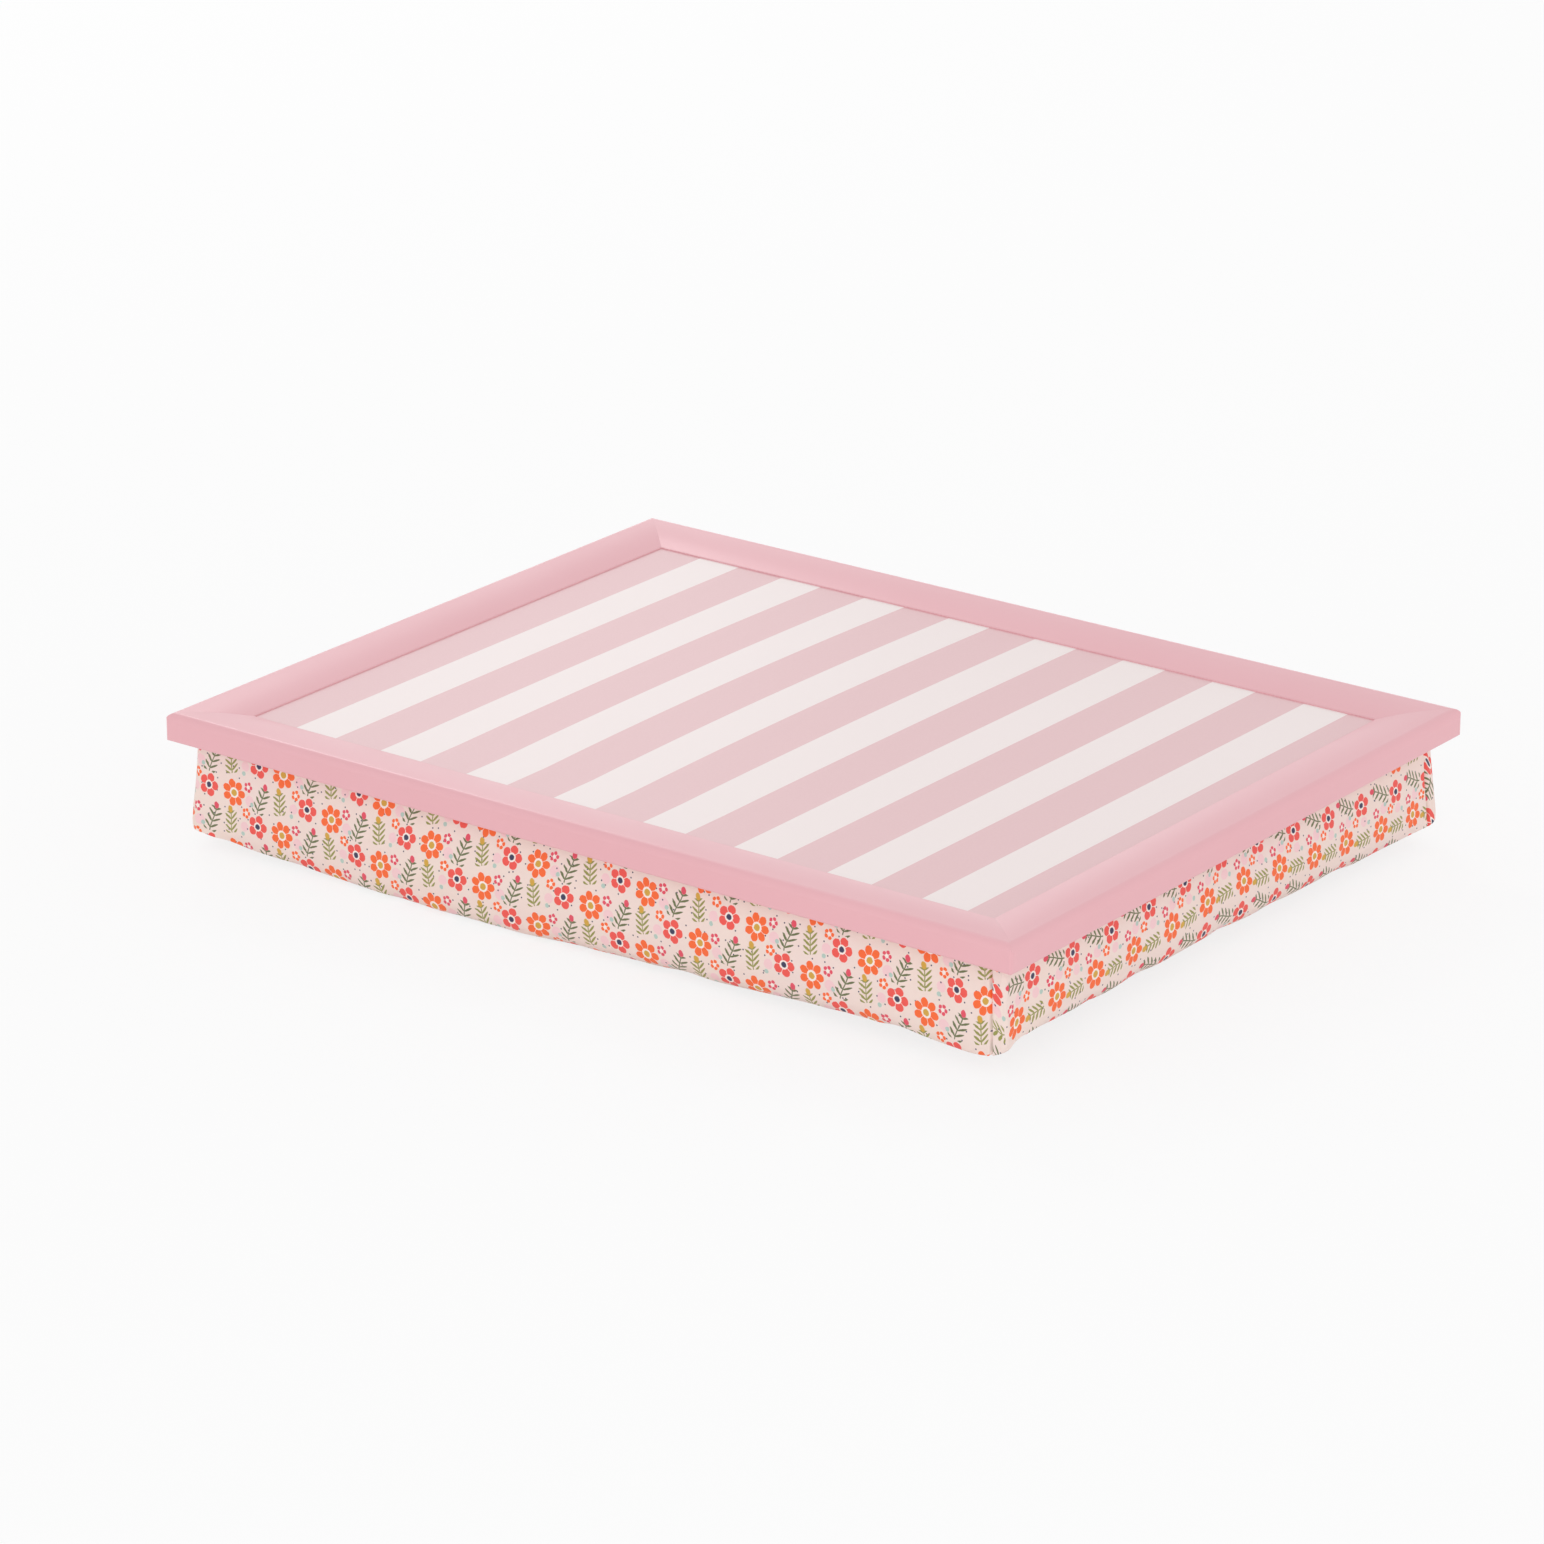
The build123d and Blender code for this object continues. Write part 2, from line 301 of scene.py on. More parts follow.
plug(shader.inputs["Roughness"], clouds * 0.10 + 0.28)
plug(shader.inputs["Normal"], relief(peel, PEEL_DEPTH, 0.35))
dress(satin_paint, "front_rail", "right_rail", "rear_rail", "left_rail")

# %% [markdown]
# ## The striped surface
# The board wears a printed sheet. Its pink stripes are a little wider than the white ones,
# and the frame covers more of the last pink stripe than of the first. Stripes could be cut
# as geometry, but they are ink, so one folded distance decides the colour. Folding at half
# the repeat gives every stripe the same crisp edge. The print also bows a few millimetres
# to the left, most in the middle of the tray and to the left of it.

# %% Stripes
REPEAT, PINK_WIDTH, PINK_PLACE = 0.0468, 0.0248, 0.0046
BOW, BOW_PLACE, BOW_REACH = 0.0033, (-0.045, 0.015), (0.080, 0.130)
INK_EDGE, INK_DEPTH = 0.00008, 0.00002

stripes, shader, place = new_finish("striped_laminate", Specular_IOR_Level=0.35)
x, y, _ = split_up(place)
across, along = (
    (value - middle) / reach for value, middle, reach in zip((x, y), BOW_PLACE, BOW_REACH)
)
bow_across = math_node("EXPONENT", across * across * -1.0)
bow_along = math_node("MAXIMUM", 1.0 - along * along, 0.0)
x_unbowed = x + bow_across * bow_along * BOW
from_pink = math_node("PINGPONG", x_unbowed - PINK_PLACE, REPEAT / 2)
is_pink = inside(from_pink, PINK_WIDTH / 2, INK_EDGE)
ink = texture("Noise", "Fac", place, Scale=900.0, Detail=2.0)
wash = texture("Noise", "Fac", place, Scale=6.0, Detail=2.0)
pink = laid_over(linear(234, 196, 199), linear(230, 191, 194), ink)
white = laid_over(linear(247, 235, 234), linear(244, 232, 230), wash)
plug(shader.inputs["Base Color"], laid_over(white, pink, is_pink))
plug(shader.inputs["Roughness"], ink * 0.06 + 0.30)
plug(shader.inputs["Normal"], relief(ink, INK_DEPTH, 0.25))
dress(stripes, "striped_sheet")
print(f"the stripes repeat every {REPEAT / MM:.1f} mm")

# %% [markdown]
# ## Boards, sheets and steel inside
# The boards behind the surface and the fixings are hidden once the tray is put together,
# yet they are real pieces. Each gets the finish that it has on the bench: pressed fibres,
# brown hardboard, a plain backing sheet and bright zinc.

# %% Hidden finishes
def speckled(name, light, dark, scale, depth, stretch=(1, 1, 1), **sockets):
    """A finish of two mixed tones with a fine grain, whose relief has a depth in metres"""
    material, shader, place = new_finish(name, **sockets)
    x, y, z = split_up(place)
    grain_place = joined(x * stretch[0], y * stretch[1], z * stretch[2])
    grain = texture("Noise", "Fac", grain_place, Scale=scale, Detail=6.0, Roughness=0.7)
    plug(shader.inputs["Base Color"], laid_over(light, dark, grain))
    plug(shader.inputs["Normal"], relief(grain, depth, 0.4))
    return material


pressed_fibre = speckled(
    "pressed_fibre",
    linear(190, 158, 118),
    linear(150, 118, 82),
    scale=900.0,
    depth=0.0001,
    Roughness=0.8,
)
brown_hardboard = speckled(
    "brown_hardboard",
    linear(128, 92, 62),
    linear(84, 58, 38),
    scale=700.0,
    depth=0.00008,
    Roughness=0.55,
)
backing_sheet = speckled(
    "backing_sheet",
    linear(226, 221, 210),
    linear(214, 208, 196),
    scale=400.0,
    depth=0.00002,
    Roughness=0.5,
)
bright_zinc = speckled(
    "bright_zinc",
    linear(196, 197, 196),
    linear(150, 152, 152),
    scale=2500.0,
    depth=0.00001,
    stretch=(1, 1, 0.1),
    Roughness=0.32,
    Metallic=1.0,
)
dress(pressed_fibre, "tray_board")
dress(brown_hardboard, "base_board")
dress(backing_sheet, "backer_sheet")
dress(bright_zinc, "base_screws", "corner_v_nails", "framers_points", "hem_staples")

# %% [markdown]
# ## The shape of the cushion
# One cloth lies under the beads and comes up on all four sides, with a sewn dart at each
# corner. Its sides bulge, its lower edge turns under in a soft round, and its corners stand
# out as crisp ears. It could be pulled into shape in sculpt mode. As level lines it can be
# built twice, coarse for the cloth simulation and fine to be looked at. Each level has a
# half size at its sides, another at its ears, and a corner radius.

# %% Level lines of the cushion
FRAME_Z = 0.048
COVER_HALF = np.array([0.2108, 0.1598])
EDGE_DEPTH, EDGE_RADIUS = 0.0455, 0.0075
SIDE_BULGE, BULGE_SAG = 0.0030, 1.3
EAR_BULGE, EAR_RUN, EAR_CRISPNESS = 0.0028, 0.024, 10
DART_RADIUS, TURN_RADIUS = 0.0025, 0.005


def level(way):
    """Depth, outward moves of sides and ears, and corner radius of one level

    The way is 0 at the frame, 1 where the lower edge starts to turn and 2 at the belly.
    """
    angle = max(way - 1, 0) * math.pi / 2
    turned = 1 - math.cos(angle)
    depth = min(way, 1) * (EDGE_DEPTH - EDGE_RADIUS) + EDGE_RADIUS * math.sin(angle)
    fallen = depth / EDGE_DEPTH
    side = SIDE_BULGE * math.sin(math.pi * fallen**BULGE_SAG) - EDGE_RADIUS * turned
    ear = EAR_BULGE * fallen - EAR_RUN * turned**EAR_CRISPNESS
    return depth, side, ear, DART_RADIUS + turned * (TURN_RADIUS - DART_RADIUS)


def walk_side(shares, half, other, side, ear, radius):
    """Points along one side of a level: how far along it, and how far out"""
    straight = half + ear - radius
    reach = shares * (straight + radius * math.pi / 4)
    turn = np.clip((np.abs(reach) - straight) / radius, 0, math.pi / 4)
    flat = np.clip(reach, -straight, straight)
    bow = (side - ear) * (1 - (flat / straight) ** 2)
    along = flat + np.sign(reach) * radius * np.sin(turn)
    out = other + ear + bow - radius * (1 - np.cos(turn))
    return along, out


def ring(steps_x, steps_y, side, ear, radius):
    """One level's X and Y, from the front left corner round to it again"""
    half_x, half_y = COVER_HALF
    x_along, y_out = walk_side(steps_x, half_x, half_y, side, ear, radius)
    y_along, x_out = walk_side(steps_y, half_y, half_x, side, ear, radius)
    front = np.stack([x_along, -y_out], 1)
    right = np.stack([x_out, y_along], 1)
    return np.concatenate([front[:-1], right[:-1], -front[:-1], -right[:-1]])


print("near the belly: depth, sides, ears, radius", [round(v / MM, 1) for v in level(1.8)], "mm")

# %% [markdown]
# ## How deep it hangs
# Beads run to one side when the tray is carried. Here they lie to the front left, where the
# lower edge hangs down to the table. On the right it is drawn up, most of all just behind
# the front corner, whose ear hangs lower because its sewn dart holds it. One list of
# places and depths in millimetres, read round the cushion from the front left corner,
# stretches every column by its own amount.

# %% Depths round the cushion
HANG = (
    (0, 42.2), (34, 44.2), (57, 45.0), (105, 48.0), (180, 48.0), (220, 46.4), (271, 45.4),
    (322, 42.4), (371, 40.2), (405, 41.4), (414, 40.4), (424, 36.4), (431, 34.6), (454, 35.4),
    (490, 37.4), (565, 39.1), (614, 39.4), (678, 41.0), (710, 40.6), (741, 39.4), (800, 44.8),
    (890, 46.0), (1042, 45.6), (1163, 42.6), (1223, 44.2), (1303, 43.2), (1443, 45.0),
)
HANG_ROUNDING = 4 * MM
hang_at, hang_depth = np.array(HANG).T * MM
girth = 4 * COVER_HALF.sum()


def way_round(u, v):
    """Distance round the cushion from its front left corner, for shares along X and Y"""
    half_x, half_y = COVER_HALF
    longest = np.maximum(np.maximum(np.abs(u), np.abs(v)), 1e-9)
    u, v = u / longest, v / longest
    long_side = np.where(v < 0, (1 + u) * half_x, 3 * half_x + 2 * half_y - u * half_x)
    short_side = np.where(u > 0, 2 * half_x + (1 + v) * half_y, girth - (1 + v) * half_y)
    return np.where(np.abs(v) >= np.abs(u), long_side, short_side)


def hang(distance):
    """Depth of the lower edge there, with the corners of the list rounded off"""
    shifts = np.linspace(-HANG_ROUNDING, HANG_ROUNDING, 7)
    return np.mean([np.interp(distance + s, hang_at, hang_depth, period=girth) for s in shifts], 0)


print(f"the edge hangs {min(hang_depth) / MM:.1f} to {max(hang_depth) / MM:.1f} mm deep")

# %% [markdown]
# ## Rings, belly and net
# Each level is walked round in the same number of steps, so the points of one column lie
# under each other. The belly sinks by a few millimetres to the flat patch that it stands
# on, about two fifths as long and as wide as the cushion. Its grid shares the last ring's
# points, so wall and belly are one cloth. A remesh would make a closed skin too, but
# without columns for the seams and the print to follow.

# %% Points and faces of the cushion
FLAT_SHARE = math.sqrt(1 / 6)


def ways_down(wall_count, edge_count):
    """Ways of the levels down the wall and then round the lower edge"""
    return np.concatenate([np.linspace(0, 1, wall_count), np.linspace(1, 2, edge_count)[1:]])


def cushion_form(steps_x, steps_y, ways):
    """Rings of points down the wall and round the edge, the belly's grid, and the girth
    distance of each column"""
    front = np.stack([steps_x, np.full(len(steps_x), -1.0)], 1)[:-1]
    right = np.stack([np.full(len(steps_y), 1.0), steps_y], 1)[:-1]
    column_place = way_round(*np.concatenate([front, right, -front, -right]).T)
    hung = hang(column_place)
    rings = []
    for depth, side, ear, radius in (level(way) for way in ways):
        height = FRAME_Z - depth * hung / EDGE_DEPTH
        rings.append(np.column_stack([ring(steps_x, steps_y, side, ear, radius), height]))

    u, v = np.meshgrid(steps_x, steps_y, indexing="ij")
    reach = np.maximum(np.maximum(np.abs(u), np.abs(v)), 1e-9)
    on_x = np.abs(v) >= np.abs(u)
    _, side, ear, radius = level(ways[-1])
    x_along, y_out = walk_side(u / reach, *COVER_HALF, side, ear, radius)
    y_along, x_out = walk_side(v / reach, *COVER_HALF[::-1], side, ear, radius)
    rim_x = np.where(on_x, x_along, np.sign(u) * x_out)
    rim_y = np.where(on_x, np.sign(v) * y_out, y_along)
    sunk = np.clip((1 - reach**2) / (1 - FLAT_SHARE**2), 0, 1)
    height = (FRAME_Z - hang(way_round(u, v))) * (1 - sunk)
    belly = np.stack([rim_x * reach, rim_y * reach, height], -1)
    return np.array(rings), belly, column_place


def net(rings, belly):
    """Points of rings and belly in one list, and the faces of each"""
    around = rings.shape[1]
    count_x, count_y = belly.shape[0] - 1, belly.shape[1] - 1
    index = np.empty((count_x + 1, count_y + 1), int)
    inner = index[1:-1, 1:-1]
    inner[...] = rings.size // 3 + np.arange(inner.size).reshape(inner.shape)
    last = (len(rings) - 1) * around
    index[:-1, 0] = last + np.arange(count_x)
    index[-1, :-1] = last + count_x + np.arange(count_y)
    index[1:, -1] = last + count_x + count_y + np.arange(count_x)[::-1]
    index[0, 1:] = last + 2 * count_x + count_y + np.arange(count_y)[::-1]
    points = np.concatenate([rings.reshape(-1, 3), belly[1:-1, 1:-1].reshape(-1, 3)])

    column = np.arange(around)
    after = np.roll(column, -1)
    ring_faces = [
        np.stack([row + column, row + around + column, row + around + after, row + after], 1)
        for row in np.arange(len(rings) - 1) * around
    ]
    corners = [index[:-1, :-1], index[:-1, 1:], index[1:, 1:], index[1:, :-1]]
    return points, np.array(ring_faces), np.stack(corners, -1).reshape(-1, 4)


def new_piece(name, points, faces):
    """An object in the scene from points and faces, smooth shaded"""
    mesh = bpy.data.meshes.new(name)
    mesh.from_pydata(points.tolist(), [], faces)
    mesh.polygons.foreach_set("use_smooth", [True] * len(mesh.polygons))
    mesh.update()
    piece = bpy.data.objects.new(name, mesh)
    scene.collection.objects.link(piece)
    return piece


def vertex_normals(mesh):
    normals = np.empty(len(mesh.vertices) * 3, np.float32)
    mesh.vertex_normals.foreach_get("vector", normals)
    return normals.reshape(-1, 3).astype(float)


# %% [markdown]
# ## Folds from a cloth simulation
# Cotton over beads never lies quite smooth: it puckers where it is stapled under the frame
# and creases along its lower edge. Folds could be sculpted, but a simulation finds where
# they belong. A coarse copy of the cushion is held at the frame and where it stands, gets
# a little more cloth than it has room for, and is blown up for twenty frames. Only its
# folds are kept. Its broad swell is taken out again, so that the cushion keeps its form.

# %% Simulate the cloth
SIM_STEP, SIM_FRAMES = 0.0045, 20
SPARE_CLOTH, PRESSURE, CLOTH_MASS = 0.025, 3.0, 0.15
STRETCH_STIFFNESS, BEND_STIFFNESS = 25, 0.2
TOUCHING = 1e-5

sim_x, sim_y = (np.linspace(-1, 1, 2 * round(half / SIM_STEP) + 1) for half in COVER_HALF)
sim_ways = ways_down(10, 5)
sim_rings, sim_belly, sim_places = cushion_form(sim_x, sim_y, sim_ways)
sim_points, ring_faces, belly_faces = net(sim_rings, sim_belly)
cloth_copy = new_piece(
    "cloth_copy", sim_points, ring_faces.reshape(-1, 4).tolist() + belly_faces.tolist()
)
sim_normals = vertex_normals(cloth_copy.data)
sim_z = sim_points[:, 2]
held = np.flatnonzero((sim_z > FRAME_Z - TOUCHING) | (sim_z < TOUCHING))
cloth_copy.vertex_groups.new(name="held").add(held.tolist(), 1.0, "REPLACE")

cloth = cloth_copy.modifiers.new("cloth", "CLOTH")
settings = cloth.settings
settings.quality = 6
settings.mass = CLOTH_MASS
settings.tension_stiffness = settings.compression_stiffness = STRETCH_STIFFNESS
settings.bending_stiffness = BEND_STIFFNESS
settings.shrink_min = -SPARE_CLOTH
settings.use_pressure = True
settings.uniform_pressure_force = PRESSURE
settings.vertex_group_mass = "held"
settings.effector_weights.gravity = 0
cloth.point_cache.frame_end = SIM_FRAMES
for moment in range(1, SIM_FRAMES + 1):
    scene.frame_set(moment)
blown = cloth_copy.evaluated_get(bpy.context.evaluated_depsgraph_get())
blown_points = np.array([vertex.co for vertex in blown.data.vertices])
blown_out = ((blown_points - sim_points) * sim_normals).sum(1)
bpy.data.objects.remove(cloth_copy)
scene.frame_set(1)
print(f"blown out by {blown_out.min() / MM:.2f} to {blown_out.max() / MM:.2f} mm")

# %% [markdown]
# ## The fine cushion
# The copy to be looked at has steps that get finer towards the corners and are finest about
# the seams, because a seam is about a millimetre wide. Above the wall the cloth goes on
# round the base board and is turned in on top of it. Both are out of sight, but a closed
# form is what the cushion is.

# %% Mesh of the cushion
SEAT_HEIGHT, CLOTH, HEM_HALF = 0.0033, 0.0008, np.array([0.1895, 0.1385])
SIDE_STEP = 0.0024
CORNER_GAPS, CORNER_COUNTS = (0.018, 0.0082, 0.0042, 0), (10, 19, 8)


def steps_to_corner(half):
    """Shares of the way from the middle of a side to its corners, finest about the seams"""
    marks = [half - gap for gap in CORNER_GAPS]
    stretches = [np.linspace(0, marks[0], int(marks[0] / SIDE_STEP))]
    for start, end, count in zip(marks, marks[1:], CORNER_COUNTS):
        stretches.append(np.linspace(start, end, count)[1:])
    stops = np.concatenate(stretches)
    return np.concatenate([-stops[:0:-1], stops]) / half


def hidden_ring(half, height):
    """A ring in step with the others on a plain rectangle above the wall"""
    flat = ring(steps_x, steps_y, 0, 0, DART_RADIUS) * (half / COVER_HALF)
    return np.column_stack([flat, np.full(len(flat), height)])


steps_x, steps_y = (steps_to_corner(half) for half in COVER_HALF)
ways = ways_down(24, 23)
seen_rings, belly, places = cushion_form(steps_x, steps_y, ways)
board_half, hem_top = COVER_HALF - CLOTH, FRAME_Z + SEAT_HEIGHT
upper = [
    hidden_ring(board_half, FRAME_Z),
    hidden_ring(board_half, hem_top - CLOTH),
    hidden_ring(HEM_HALF, hem_top - CLOTH),
    hidden_ring(HEM_HALF, hem_top),
    hidden_ring(COVER_HALF, hem_top),
]
rings = np.concatenate([np.array(upper), seen_rings])
points, ring_faces, belly_faces = net(rings, belly)
around = len(places)
lid = list(range(around))
cushion = new_piece(
    "cushion", points, [lid] + ring_faces.reshape(-1, 4).tolist() + belly_faces.tolist()
)
cushion_mesh = cushion.data
print(len(points), "points and", len(cushion_mesh.polygons), "faces")

# %% [markdown]
# ## Cloth coordinates
# The print was on the cloth before it was sewn, so it runs up the front upright and lies
# on its side on the right. A box projection would not turn with the cloth. Here each panel
# measures its threads from the belly's edge upwards. Going round, each seam lies a little
# before its corner, and there one panel ends and the next begins. So the strip between a
# seam and its corner is measured on round the corner, along the wall that it lies on.

# %% Where each thread lies
SEAM_FROM_CORNER, ON_WALL = 0.0062, 0.003

lengths = np.linalg.norm(np.diff(rings, axis=0), axis=2)
climb = np.concatenate([np.cumsum(lengths[::-1], axis=0)[::-1], np.zeros((1, around))])
rim = rings[-1]
side_x, side_y = np.sign(rim[:, 0]), np.sign(rim[:, 1])
x_now, y_now = rings[:, :, 0], rings[:, :, 1]
inward_x, inward_y = (np.abs(v).max(1)[:, None] - np.abs(v) for v in (x_now, y_now))
x_print = x_now + side_x * inward_y * (inward_x < ON_WALL)
y_print = y_now + side_y * inward_x * (inward_y < ON_WALL)
front_print = np.stack([x_print, -rim[None, :, 1] - side_y[None] * climb], -1)
side_print = np.stack([rim[None, :, 0] + side_x[None] * climb, -y_print], -1)
flat_print = np.stack([points[:, 0], -points[:, 1]], -1)

count_x, count_y = len(steps_x) - 1, len(steps_y) - 1
seam_steps = [
    int(np.argmin(np.abs((1 - steps) * half - SEAM_FROM_CORNER)))
    for steps, half in zip((steps_x, steps_y), COVER_HALF)
]
side_starts = np.cumsum([0, count_x, count_y, count_x])
seams = side_starts + np.array(seam_steps * 2)
column = np.arange(around)
front_or_rear = (column < seams[0]) | (column >= seams[3])
front_or_rear |= (column >= seams[1]) & (column < seams[2])
chosen = np.where(
    front_or_rear[None, :, None, None],
    front_print.reshape(-1, 2)[ring_faces],
    side_print.reshape(-1, 2)[ring_faces],
)
cloth_place = np.concatenate(
    [flat_print[lid], chosen.reshape(-1, 2), flat_print[belly_faces].reshape(-1, 2)]
)
cloth_map = cushion_mesh.uv_layers.new(name="cloth")
cloth_map.uv.foreach_set("vector", cloth_place.astype(np.float32).ravel())
print("print runs over", np.ptp(cloth_place, axis=0).round(3), "m of cloth")

# %% [markdown]
# ## Folds carried over to the fine cushion
# The coarse and the fine cushion have the same levels and the same way round, so a fold
# has the same address on both. Each fine place takes a weighted mean of the coarse places
# near it, which leaves no facets. The broad swell is a mean over a wider stretch, and is
# taken off.

# %% Folds on the fine cushion
BROAD_FOLD, ROW_WIDTH = 0.022, 0.13
FADE_TOP, FADE_EDGE, FADE_BELLY = 0.1, 0.15, 0.04


def weights(fine, coarse, width, period=None):
    """Shares of the coarse places in each fine place, from those within about a width"""
    gap = np.asarray(fine)[:, None] - np.asarray(coarse)[None, :]
    if period:
        gap = (gap + period / 2) % period - period / 2
    share = np.exp(-((gap / width) ** 2))
    return share / share.sum(1, keepdims=True)


fold_rings = blown_out[: sim_rings.size // 3].reshape(len(sim_rings), -1)
fold_belly = np.zeros(sim_belly.shape[:2])
fold_belly[1:-1, 1:-1] = blown_out[sim_rings.size // 3 :].reshape(len(sim_x) - 2, -1)
fold_rings = fold_rings - fold_rings @ weights(sim_places, sim_places, BROAD_FOLD, girth).T
half_x, half_y = COVER_HALF
broad_x = weights(sim_x * half_x, sim_x * half_x, BROAD_FOLD)
broad_y = weights(sim_y * half_y, sim_y * half_y, BROAD_FOLD)
fold_belly = fold_belly - broad_x @ fold_belly @ broad_y.T

row_shares = weights(ways, sim_ways, ROW_WIDTH)
fold_rings = row_shares @ fold_rings @ weights(places, sim_places, SIM_STEP, girth).T
kept_share = np.clip(ways / FADE_TOP, 0, 1) * np.clip((2 - ways) / FADE_EDGE, 0, 1)
fold_rings *= kept_share[:, None]
fine_x = weights(steps_x * half_x, sim_x * half_x, SIM_STEP)
fine_y = weights(steps_y * half_y, sim_y * half_y, SIM_STEP)
belly_reach = np.maximum(*np.abs(np.meshgrid(steps_x, steps_y, indexing="ij")))
fold_belly = fine_x @ fold_belly @ fine_y.T * np.clip((1 - belly_reach) / FADE_BELLY, 0, 1)
folds = np.concatenate(
    [np.zeros(len(upper) * around), fold_rings.ravel(), fold_belly[1:-1, 1:-1].ravel()]
)
print(f"folds are {folds.std() / MM:.2f} mm deep, the deepest {np.abs(folds).max() / MM:.1f} mm")

# %% [markdown]
# ## Seams, beads and pleats
# A sewn dart lies in a narrow valley, with the cloth a little plump beside it. The beads
# have run to the front left and push that wall out. Close under the frame the staples pull
# small pleats. Each is a move along the surface's own normal. The waves are drawn at random
# from a fixed seed, so they look loose and come out the same on every run.

# %% Relief of the cloth
FOLD_SHARE, DEEPEST_FOLD = 0.35, 0.0009
SWELL, SWELL_LENGTHS, SWELL_FULL = 0.0003, (0.055, 0.12), 0.012
PLEAT, PLEAT_LENGTHS, PLEAT_DEPTH, PLEAT_RUN = 0.0002, (0.009, 0.024), 0.004, 0.006
SEAM_DEPTH, SEAM_WIDTH, SEAM_TOP = 0.0012, 0.0005, 0.0004
PLUMP, PLUMP_PLACE, PLUMP_WIDTH = 0.15, 3 * SEAM_WIDTH, 1.6 * SEAM_WIDTH
PUSH, PUSH_PLACE, PUSH_WIDTH, PUSH_FULL = 0.0018, 0.142, 0.060, 0.02
STANDING = 0.003
chance = np.random.default_rng(11)


def loose_waves(at, shortest, longest, count):
    """A smooth uneven field between -1 and 1 over the given places"""
    total = np.zeros(len(at))
    for _ in range(count):
        turn, phase = chance.uniform(0, 2 * math.pi, 2)
        length = chance.uniform(shortest, longest)
        heading = np.array([math.cos(turn), math.sin(turn), chance.uniform(-1, 1)])
        total += np.sin(at @ heading * 2 * math.pi / length + phase)
    return total / math.sqrt(count) / 1.5


depth = FRAME_Z - points[:, 2]
move = DEEPEST_FOLD * np.tanh(folds * FOLD_SHARE / DEEPEST_FOLD)
move += SWELL * loose_waves(points, *SWELL_LENGTHS, 9) * np.clip(depth / SWELL_FULL, 0, 1)
pleats = np.exp(-(((depth - PLEAT_DEPTH) / PLEAT_RUN) ** 2)) * (depth > 0)
move += PLEAT * loose_waves(points * np.array([1, 1, 0]), *PLEAT_LENGTHS, 8) * pleats

ring_points = len(rings) * around
point_place = np.tile(places, len(rings))
pushed = np.exp(-(((point_place - PUSH_PLACE) / PUSH_WIDTH) ** 2))
move[:ring_points] += PUSH * pushed * np.clip(depth[:ring_points] / PUSH_FULL, 0, 1)

for seam in seams:
    from_seam = np.linalg.norm(rings - rings[:, seam : seam + 1], axis=2).ravel()
    valley = np.exp(-((from_seam / SEAM_WIDTH) ** 2))
    plump = PLUMP * np.exp(-(((from_seam - PLUMP_PLACE) / PLUMP_WIDTH) ** 2))
    move[:ring_points] += SEAM_DEPTH * (plump - valley) * (depth[:ring_points] > SEAM_TOP)
move[: len(upper) * around] = 0
move *= np.clip(points[:, 2] / STANDING, 0, 1)
moved = points + vertex_normals(cushion_mesh) * move[:, None]
moved[:, 2] = np.maximum(moved[:, 2], 0.0)
cushion_mesh.vertices.foreach_set("co", moved.astype(np.float32).ravel())
cushion_mesh.update()
print(f"cloth moved by {move.min() / MM:.2f} to {move.max() / MM:.2f} mm")

# %% [markdown]
# ## The printed cotton
# The cloth has a small scattered print in warm colours on a pale ground. Such a print
# repeats with a half drop: every other column of tiles sits half a tile lower. Each motif
# is a formula in millimetres from its own centre, so it stays sharp at any distance.

# %% Motifs of the print
TILE_WIDTH, TILE_HEIGHT = 28.0, 27.0
INK_BLUR = 0.10
ORANGE, CORAL, ROSE = linear(253, 108, 48), linear(243, 88, 80), linear(230, 78, 100)
OLIVE, MOSS, MUSTARD = linear(104, 114, 72), linear(150, 150, 78), linear(214, 168, 66)
NAVY, MINT, BLUSH = linear(52, 56, 88), linear(182, 206, 196), linear(248, 204, 210)
PALE = linear(251, 240, 232)


def turned(x, y, degrees):
    """Coordinates seen from a motif that is turned"""
    c, s = math.cos(math.radians(degrees)), math.sin(math.radians(degrees))
    return x * c + y * s, y * c - x * s


def distance(x, y):
    return math_node("SQRT", x * x + y * y)


def disc(x, y, radius):
    return inside(distance(x, y), radius, INK_BLUR)


def flower(under, x, y, radius, petals, colour, heart):
    """Separate round petals about a pale ring and a coloured heart, sized by its radius"""
    angle = math_node("ARCTAN2", y, x)
    far = distance(x, y)
    lobes = math_node("ABSOLUTE", math_node("COSINE", angle * (petals / 2)))
    edge = math_node("POWER", lobes, 0.55) * (0.46 * radius) + 0.54 * radius
    under = laid_over(under, colour, inside(far - edge, 0.0, INK_BLUR))
    slit = inside(lobes * far, 0.30, 0.10) * inside(far, 0.74 * radius, INK_BLUR)
    under = laid_over(under, PALE, slit)
    under = laid_over(under, PALE, inside(far, 0.38 * radius, INK_BLUR))
    return laid_over(under, heart, inside(far, 0.24 * radius, INK_BLUR))


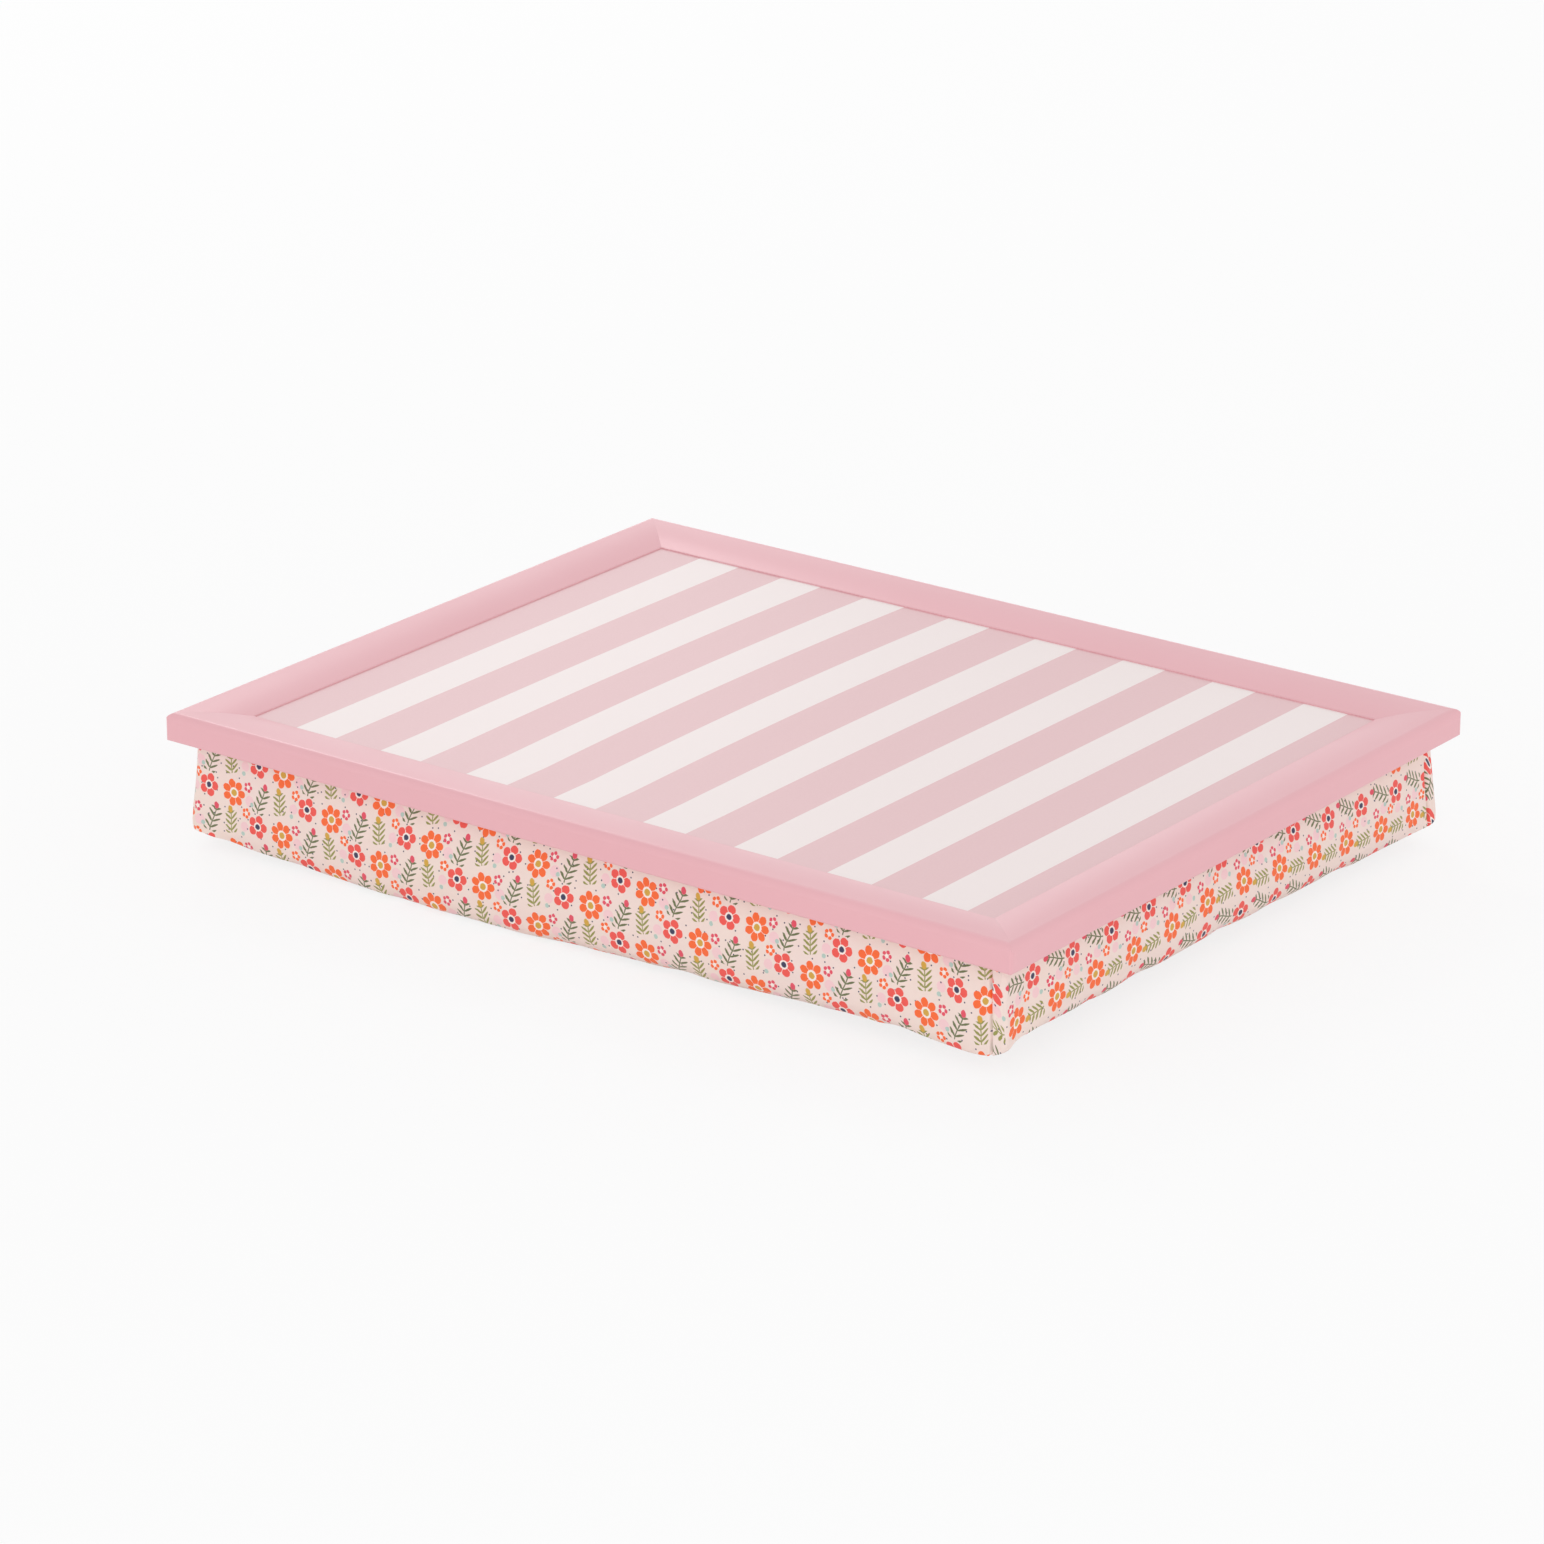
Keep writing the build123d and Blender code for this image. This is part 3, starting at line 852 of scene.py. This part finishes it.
def sprig(under, x, y, length, colour, tip):
    """A curved stem, as long as asked, with pairs of rising leaves and a bud on top"""
    bent = x - math_node("SINE", y * 0.30) * 0.8
    wide = math_node("ABSOLUTE", bent)
    reach = inside(math_node("ABSOLUTE", y), length / 2, INK_BLUR)
    stem = inside(wide, 0.26, INK_BLUR)
    pitch = length / 4
    fold = math_node("FLOORED_MODULO", y - wide * 0.75 + length, pitch) - pitch / 2
    leaf_x, leaf_y = (wide - 1.8) / 1.75, fold / 0.62
    leaf = inside(leaf_x * leaf_x + leaf_y * leaf_y, 1.0, 0.2)
    under = laid_over(under, colour, math_node("MAXIMUM", stem, leaf) * reach)
    return laid_over(under, tip, disc(bent, (y - length / 2 - 0.8) * 0.8, 1.25))


# %% [markdown]
# ## The print on the weave
# Motifs are printed one after another, so a later one lies over an earlier one. A picture
# would be quicker to place, but formulas keep the print in the piece's own material. Under
# the ink is a plain weave, which is two crossed waves with thicker threads here and there.
# It tints the cloth and gives it its fine relief.

# %% Cotton with its print and weave
# Each motif has its place in the tile. A sprig then has its tilt, length and two colours,
# and a flower its radius, petals and two colours.
SPRIGS = (
    (8.8, 4.6, -12, 12.0, OLIVE, ROSE),
    (-8.6, -8.2, 16, 9.6, MOSS, MUSTARD),
)
FLOWERS = (
    (-7.2, 5.2, 6.2, 7, ORANGE, MUSTARD),
    (6.9, -7.2, 5.3, 5, CORAL, NAVY),
    (0.8, 9.2, 2.4, 5, ROSE, PALE),
    (0.2, -2.4, 2.4, 5, ORANGE, PALE),
)
THREAD = 0.36
WEAVE_DEPTH = 0.00006

printed_cotton, shader, _ = new_finish(
    "printed_cotton", Specular_IOR_Level=0.25, Sheen_Weight=0.15, Sheen_Roughness=0.5
)
cloth_node = Sum.tree.nodes.new("ShaderNodeUVMap")
cloth_node.uv_map = "cloth"
cloth_u, cloth_v, _ = split_up(Sum(cloth_node.outputs[0]))
u, v = cloth_u * (1 / MM), cloth_v * (1 / MM)
wobble = texture("Noise", "Fac", joined(u, v), Scale=0.9, Detail=1.0) * 0.5 - 0.25
tile_column = math_node("FLOOR", u / TILE_WIDTH)
drop = math_node("FLOORED_MODULO", tile_column, 2.0) * (TILE_HEIGHT / 2)
tile_u = math_node("FLOORED_MODULO", u, TILE_WIDTH) - TILE_WIDTH / 2 + wobble
tile_v = math_node("FLOORED_MODULO", v + drop, TILE_HEIGHT) - TILE_HEIGHT / 2 + wobble

spots = joined(u, v)
scatter = texture("Voronoi", "Distance", spots, Scale=0.17, VORONOI_DIMENSIONS="2D")
tint = texture("Noise", "Fac", spots, Scale=0.02, Detail=2.0)
ground = laid_over(linear(244, 223, 219), linear(244, 225, 212), tint)
ground = laid_over(ground, BLUSH, disc(tile_u - 1.8, tile_v - 3.2, 2.5) * 0.8)
ground = laid_over(ground, BLUSH, disc(tile_u + 0.6, tile_v + 8.6, 2.2) * 0.8)
ground = laid_over(ground, NAVY, inside(scatter, 0.060, 0.012))
for at_u, at_v, tilt, length, colour, tip in SPRIGS:
    sprig_x, sprig_y = turned(tile_u - at_u, tile_v - at_v, tilt)
    ground = sprig(ground, sprig_x, sprig_y, length, colour, tip)
for at_u, at_v, radius, petals, colour, heart in FLOWERS:
    ground = flower(ground, tile_u - at_u, tile_v - at_v, radius, petals, colour, heart)
ground = laid_over(ground, MINT, disc(tile_u - 3.4, tile_v - 2.0, 1.0))
ground = laid_over(ground, MINT, disc(tile_u + 1.6, tile_v + 12.0, 1.0))

warp = math_node("SINE", u * (math.pi / THREAD))
weft = math_node("SINE", v * (math.pi / THREAD))
weave = math_node("ABSOLUTE", warp * weft)
slub = texture("Noise", "Fac", joined(u * 0.2, v * 2.5), Scale=1.0, Detail=2.0)
plug(shader.inputs["Base Color"], laid_over(ground, linear(226, 208, 204), weave * slub * 0.14))
plug(shader.inputs["Roughness"], slub * 0.1 + 0.76)
plug(shader.inputs["Normal"], relief(weave + slub * 0.4, WEAVE_DEPTH, 0.5))
cushion_mesh.materials.append(printed_cotton)
print(len(Sum.tree.nodes), "nodes draw the print and the weave")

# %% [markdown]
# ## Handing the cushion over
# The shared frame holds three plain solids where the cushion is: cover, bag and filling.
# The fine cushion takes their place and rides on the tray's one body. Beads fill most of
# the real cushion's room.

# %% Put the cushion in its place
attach(cushion, "root")
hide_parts("cushion_cover", "bead_bag", "bead_filling")
